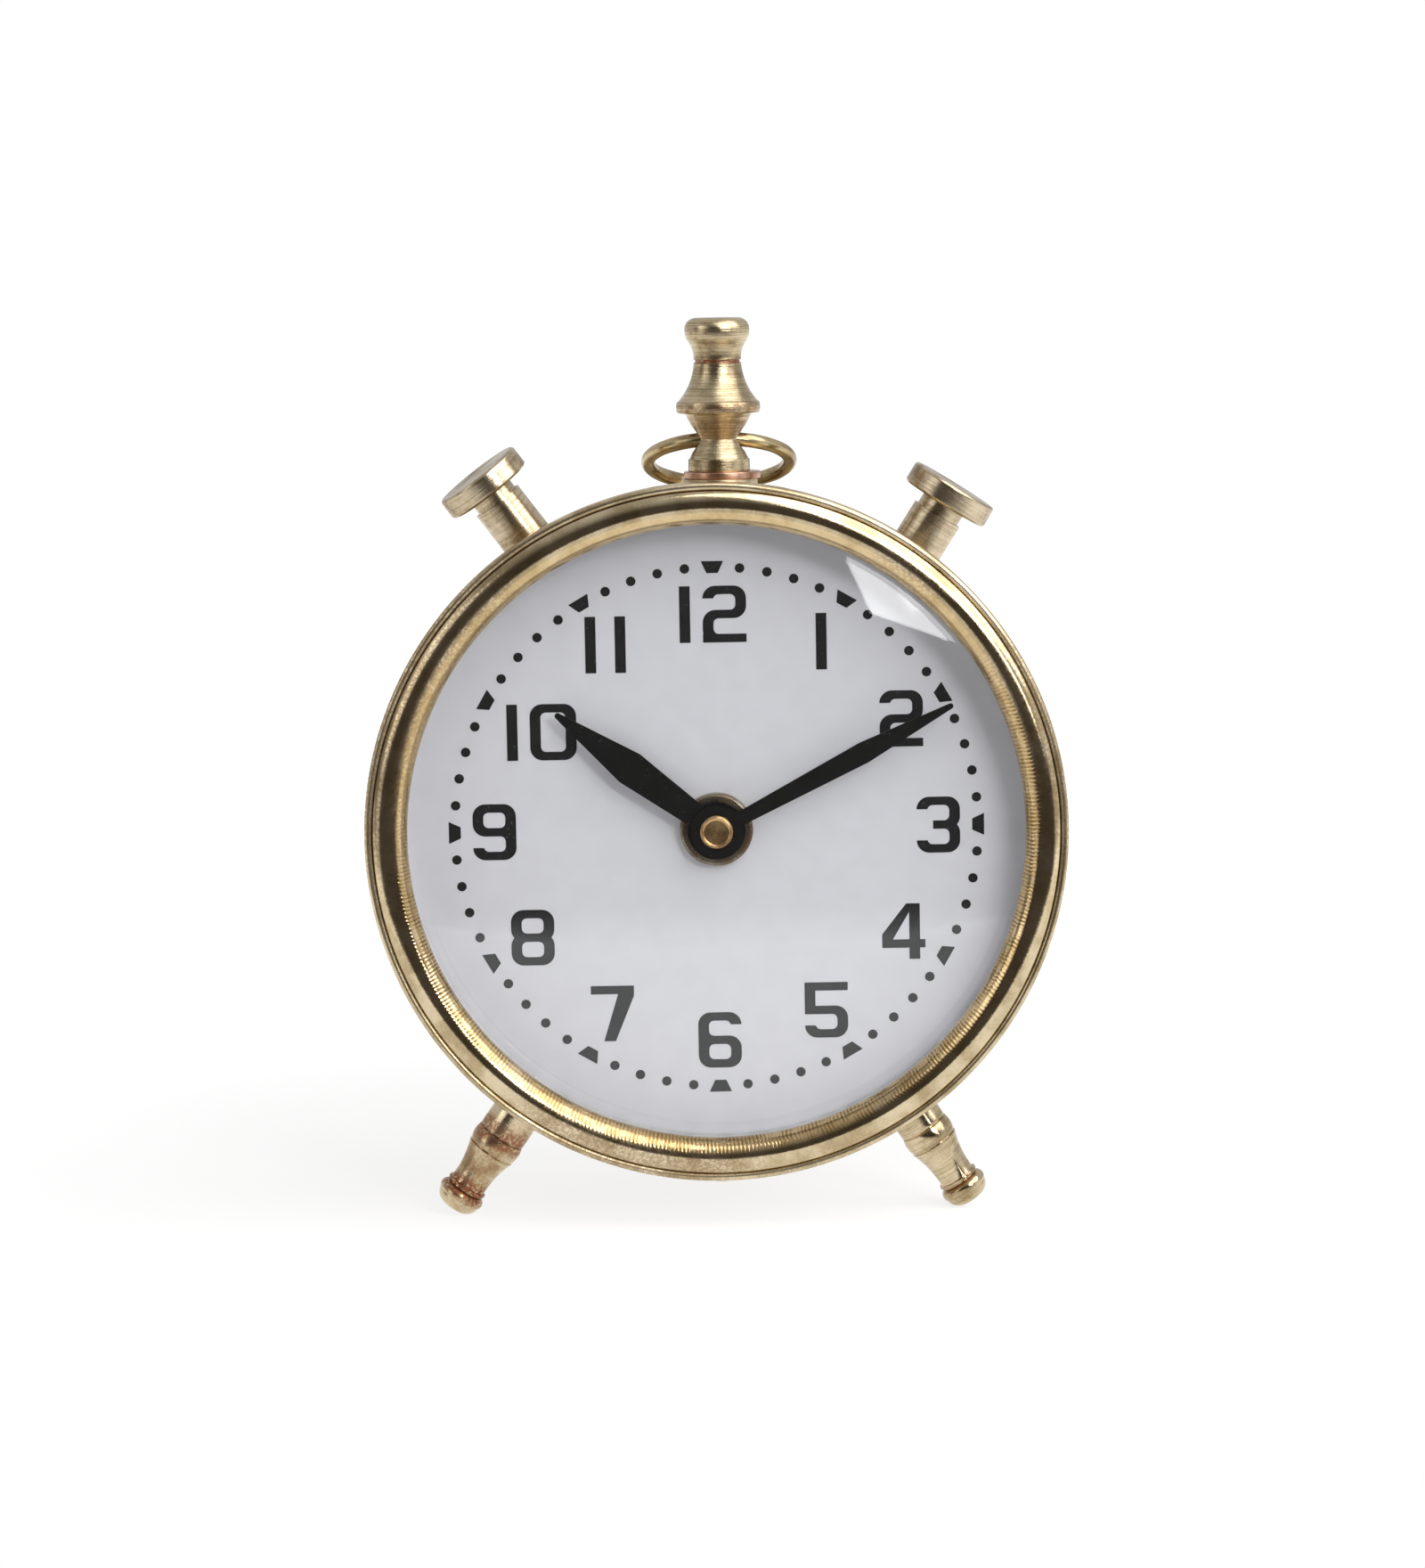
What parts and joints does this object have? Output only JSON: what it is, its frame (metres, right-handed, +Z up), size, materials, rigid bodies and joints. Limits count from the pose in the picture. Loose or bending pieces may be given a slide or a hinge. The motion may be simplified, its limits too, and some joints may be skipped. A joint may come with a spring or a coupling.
{
  "type": "table clock",
  "caption": "Round brass table clock on turned legs, shaped like a pocket watch, with a domed glass, white dial, black hands, finial, bow ring and push-pieces.",
  "frame": {"origin": "on the table, under the middle of the clock's width and depth", "axes": "+Z up, -Y towards someone who reads the dial, +X to that reader's right"},
  "size_m": [0.1174, 0.051, 0.1524],
  "materials": {
    "brass": "polished and lightly tarnished",
    "copper_washer": "dull, reddish",
    "nut_brass": "turned, satin",
    "glass": "clear, domed",
    "spacer": "satin",
    "dial_white": "satin white enamel",
    "print_black": "black printing ink",
    "hand_black": "matte black",
    "wheel_brass": "turned",
    "wheel_plastic": "moulded",
    "case_plastic": "fine moulded texture",
    "rubber": "matte",
    "steel": "plain",
    "magnet": "plain",
    "copper_wire": "enamelled copper wire",
    "board_green": "solder mask",
    "chip_black": "epoxy",
    "battery_wrap": "plain wrapper"
  },
  "bodies": {
    "case": {"case_drum": "brass", "bezel_ring": "brass", "finial": "brass", "finial_pedestal": "brass", "left_leg": "brass", "right_leg": "brass", "rear_leg": "brass", "left_pusher_tube": "brass", "right_pusher_tube": "brass", "finial_washer": "copper_washer", "finial_nut": "nut_brass", "leg_nuts": "nut_brass", "pusher_nuts": "nut_brass", "dial_nut": "nut_brass", "glass_dome": "glass", "glass_spacer_ring": "spacer", "dial_plate": "dial_white", "hour_numerals": "print_black", "hour_markers": "print_black", "minute_dots": "print_black", "movement_front_case": "case_plastic", "movement_back_case": "case_plastic", "coil_bobbin": "case_plastic", "gear_plate": "case_plastic", "train_bridge": "case_plastic", "rubber_washer": "rubber", "bridge_screws": "steel", "stator_plate": "steel", "coil_core": "steel", "battery_positive_contact": "steel", "battery_negative_contact": "steel", "left_pusher_spring": "steel", "right_pusher_spring": "steel", "quartz_crystal": "steel", "coil_winding": "copper_wire", "circuit_board": "board_green", "controller_chip": "chip_black", "battery": "battery_wrap"},
    "minute_hand": {"minute_hand": "hand_black", "hand_cap_nut": "nut_brass", "minute_post_with_cannon_pinion": "wheel_brass"},
    "hour_hand": {"hour_hand": "hand_black", "hour_wheel_with_pipe": "wheel_plastic"},
    "motion_wheel": {"motion_wheel": "wheel_plastic"},
    "setting_knob": {"setting_arbor": "wheel_plastic", "setting_knob": "wheel_plastic"},
    "centre_wheel": {"centre_wheel": "wheel_plastic"},
    "third_wheel": {"third_wheel": "wheel_plastic"},
    "second_wheel": {"second_wheel": "wheel_plastic"},
    "first_wheel": {"first_wheel": "wheel_plastic"},
    "rotor": {"rotor_arbor": "wheel_plastic", "rotor_magnet": "magnet"},
    "bow_ring": {"bow_ring": "brass"},
    "left_pusher": {"left_pusher": "brass", "left_pusher_clip": "steel"},
    "right_pusher": {"right_pusher": "brass", "right_pusher_clip": "steel"},
    "back_cover": {"back_cover": "brass"}
  },
  "joints": [
    {"name": "minute_hand_turn", "type": "hinge", "parent": "case", "child": "minute_hand", "pos_m": [0, -0.01231, 0.067], "axis": [0, 1, 0], "continuous": true},
    {"name": "hour_hand_turn", "type": "hinge", "parent": "case", "child": "hour_hand", "pos_m": [0, -0.01231, 0.067], "axis": [0, 1, 0], "continuous": true},
    {"name": "motion_wheel_turn", "type": "hinge", "parent": "case", "child": "motion_wheel", "pos_m": [0.00752, -0.00801, 0.06426], "axis": [0, 1, 0], "continuous": true},
    {"name": "setting_knob_turn", "type": "hinge", "parent": "case", "child": "setting_knob", "pos_m": [0.0154, -0.00221, 0.06288], "axis": [0, 1, 0], "continuous": true},
    {"name": "rotor_turn", "type": "hinge", "parent": "case", "child": "rotor", "pos_m": [0.00676, -0.00441, 0.07908], "axis": [0, 1, 0], "continuous": true},
    {"name": "first_wheel_turn", "type": "hinge", "parent": "case", "child": "first_wheel", "pos_m": [0.00016, -0.00321, 0.07908], "axis": [0, 1, 0], "continuous": true},
    {"name": "second_wheel_turn", "type": "hinge", "parent": "case", "child": "second_wheel", "pos_m": [-0.00751, -0.00421, 0.07841], "axis": [0, 1, 0], "continuous": true},
    {"name": "third_wheel_turn", "type": "hinge", "parent": "case", "child": "third_wheel", "pos_m": [-0.00686, -0.00521, 0.07096], "axis": [0, 1, 0], "continuous": true},
    {"name": "centre_wheel_turn", "type": "hinge", "parent": "case", "child": "centre_wheel", "pos_m": [0, -0.00541, 0.067], "axis": [0, 1, 0], "continuous": true},
    {"name": "bow_ring_swing", "type": "hinge", "parent": "case", "child": "bow_ring", "pos_m": [0.0015, -0.00421, 0.1321], "axis": [1, 0, 0], "range_deg": [0, 217]},
    {"name": "left_pusher_press", "type": "slide", "parent": "case", "child": "left_pusher", "axis": [-0.5926, -0.0872, 0.8008], "range_m": [-0.0018, 0], "stiffness_N_per_m": 400, "springref_m": 0.002, "deforming": ["left_pusher_spring"]},
    {"name": "right_pusher_press", "type": "slide", "parent": "case", "child": "right_pusher", "axis": [0.5371, -0.0262, 0.8431], "range_m": [-0.0018, 0], "stiffness_N_per_m": 400, "springref_m": 0.002, "deforming": ["right_pusher_spring"]},
    {"name": "back_cover_lift", "type": "slide", "parent": "case", "child": "back_cover", "axis": [0, 1, 0], "range_m": [0, 0.03]}
  ],
  "couplings": [
    {"joint": "hour_hand_turn", "follows": "minute_hand_turn", "ratio": 0.083333},
    {"joint": "motion_wheel_turn", "follows": "minute_hand_turn", "ratio": -0.33333},
    {"joint": "setting_knob_turn", "follows": "minute_hand_turn", "ratio": 1},
    {"joint": "first_wheel_turn", "follows": "rotor_turn", "ratio": -0.2},
    {"joint": "second_wheel_turn", "follows": "rotor_turn", "ratio": 0.033333},
    {"joint": "third_wheel_turn", "follows": "rotor_turn", "ratio": -0.0044444},
    {"joint": "centre_wheel_turn", "follows": "rotor_turn", "ratio": 0.00055556}
  ]
}
